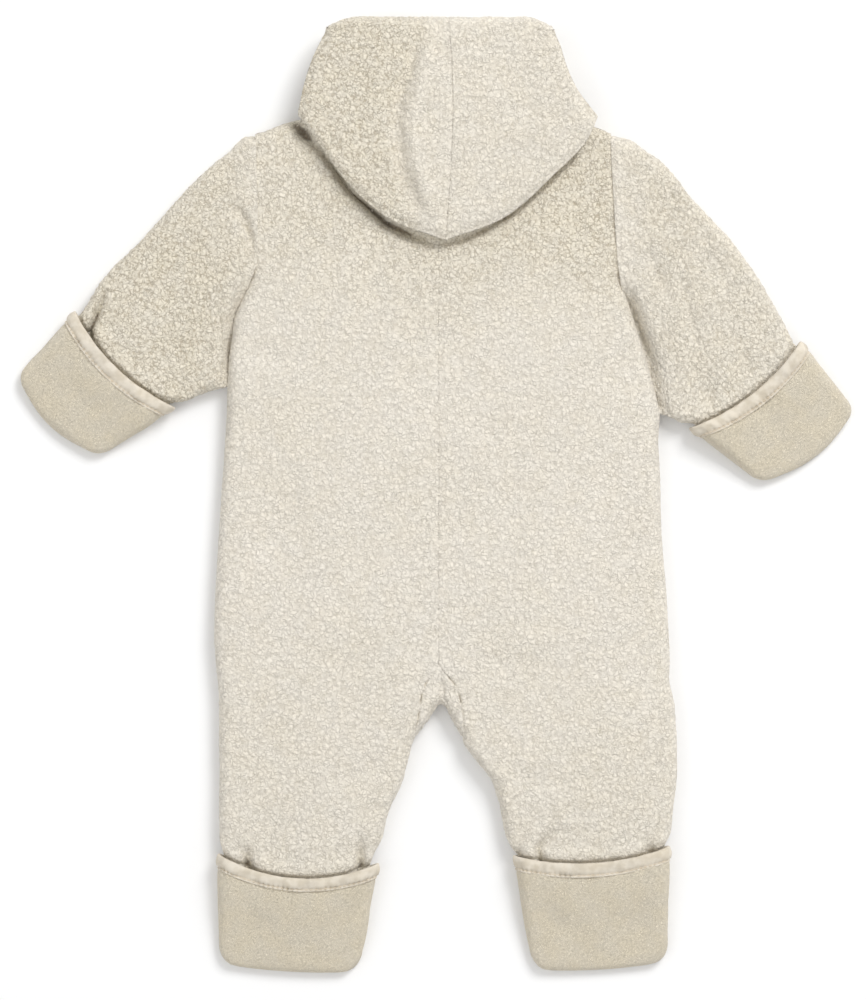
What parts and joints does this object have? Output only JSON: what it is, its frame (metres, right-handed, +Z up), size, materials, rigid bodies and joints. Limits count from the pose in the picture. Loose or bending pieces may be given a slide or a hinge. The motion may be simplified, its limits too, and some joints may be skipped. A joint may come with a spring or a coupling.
{
  "type": "hooded baby jumpsuit",
  "caption": "Hooded teddy-fleece baby pramsuit laid flat with its back up, with fold-over mitts and booties, a centre back seam and a front zip underneath.",
  "frame": {"origin": "middle of the laid-out garment's outline, on the surface that it lies on", "axes": "+X to the right of the view from above, +Y along the body towards the hood, +Z up out of the garment's back"},
  "size_m": [0.5652, 0.6498, 0.0302],
  "materials": {
    "pile": "cream teddy fleece, dense curly matt pile",
    "fleece": "short-haired smooth beige fleece",
    "binding": "soft jersey binding with a topstitch",
    "zip_cloth": "woven zip tape",
    "zip_coil": "moulded zip teeth",
    "zip_metal": "satin painted zinc"
  },
  "bodies": {
    "garment": {"back_left": "pile", "back_right": "pile", "front_left": "pile", "front_right": "pile", "crotch_gusset": "pile", "sleeve_left": "pile", "sleeve_right": "pile", "hood_left": "pile", "hood_right": "pile", "hood_neck": "pile", "hood_under": "pile", "mitt_left": "fleece", "mitt_right": "fleece", "bootie_left": "fleece", "bootie_right": "fleece", "mitt_binding_left": "binding", "mitt_binding_right": "binding", "bootie_binding_left": "binding", "bootie_binding_right": "binding", "zip_tape_left": "zip_cloth", "zip_tape_right": "zip_cloth", "zip_chain": "zip_coil", "zip_slider": "zip_metal"},
    "pull": {"zip_pull": "zip_metal"}
  },
  "joints": [
    {"name": "zip_pull_swing", "type": "hinge", "parent": "garment", "child": "pull", "pos_m": [0.00177, 0.22578, 0.00195], "axis": [1, 0, 0], "range_deg": [0, 170]}
  ]
}
